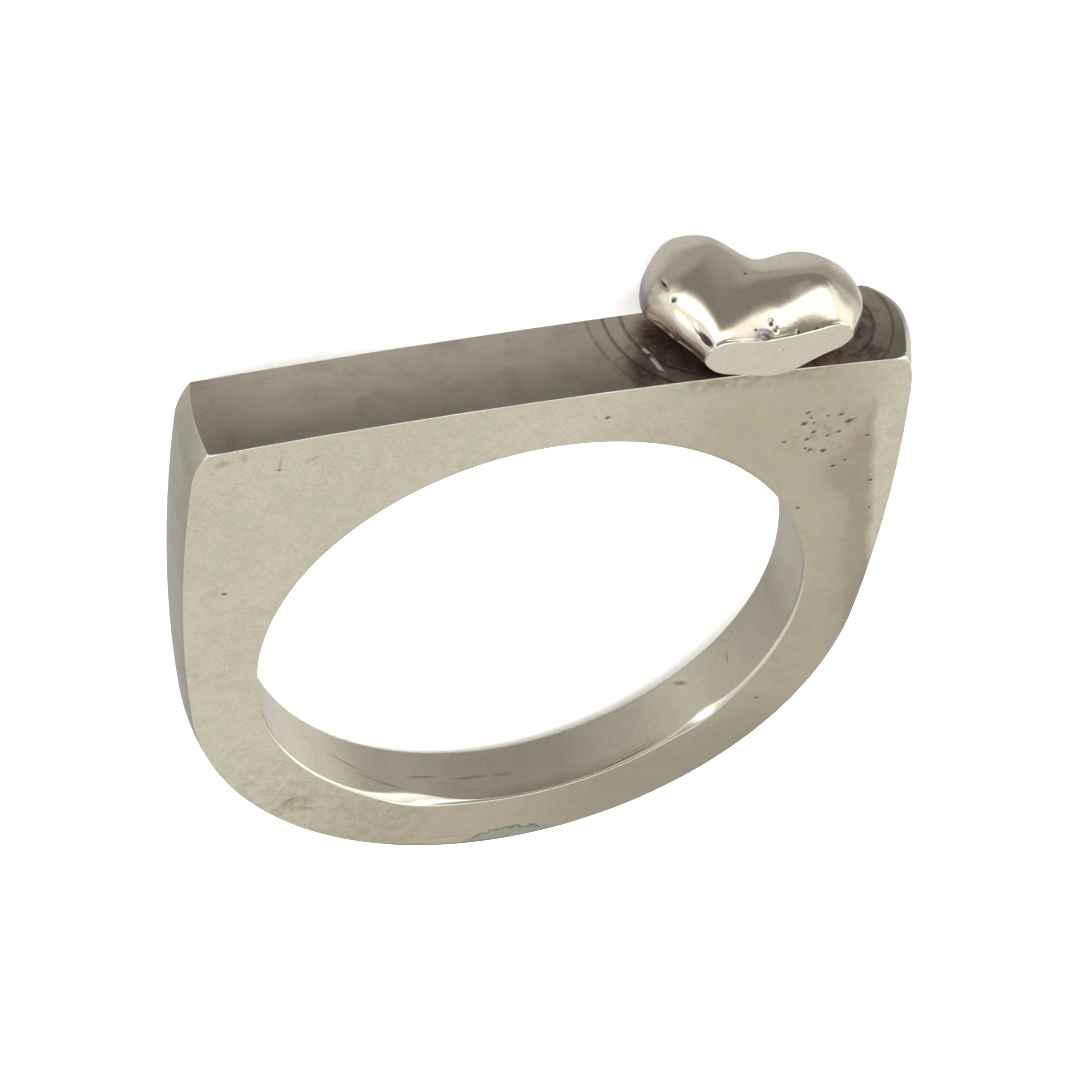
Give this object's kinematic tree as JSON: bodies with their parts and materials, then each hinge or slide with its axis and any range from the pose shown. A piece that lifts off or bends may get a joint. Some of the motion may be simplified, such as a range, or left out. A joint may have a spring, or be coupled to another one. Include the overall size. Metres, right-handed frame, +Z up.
{
  "type": "heart ring",
  "caption": "Finger ring with a D-shaped flat-topped silver band and a small puffed heart soldered near one end of the bar.",
  "frame": {"origin": "on the table under the middle of the ring as it lies on its back face", "axes": "+Z up from the table, out of the band's front face to within 5 degrees; +Y from the flat bar to the round foot of the band; +X from the heart's end of the bar to its plain end"},
  "size_m": [0.0222, 0.024, 0.0048],
  "materials": {
    "silver": "worn satin silver, finely scratched, with a polished heart and dark oxide round its seam"
  },
  "bodies": {
    "root": {"heart_ring": "silver"}
  },
  "joints": []
}
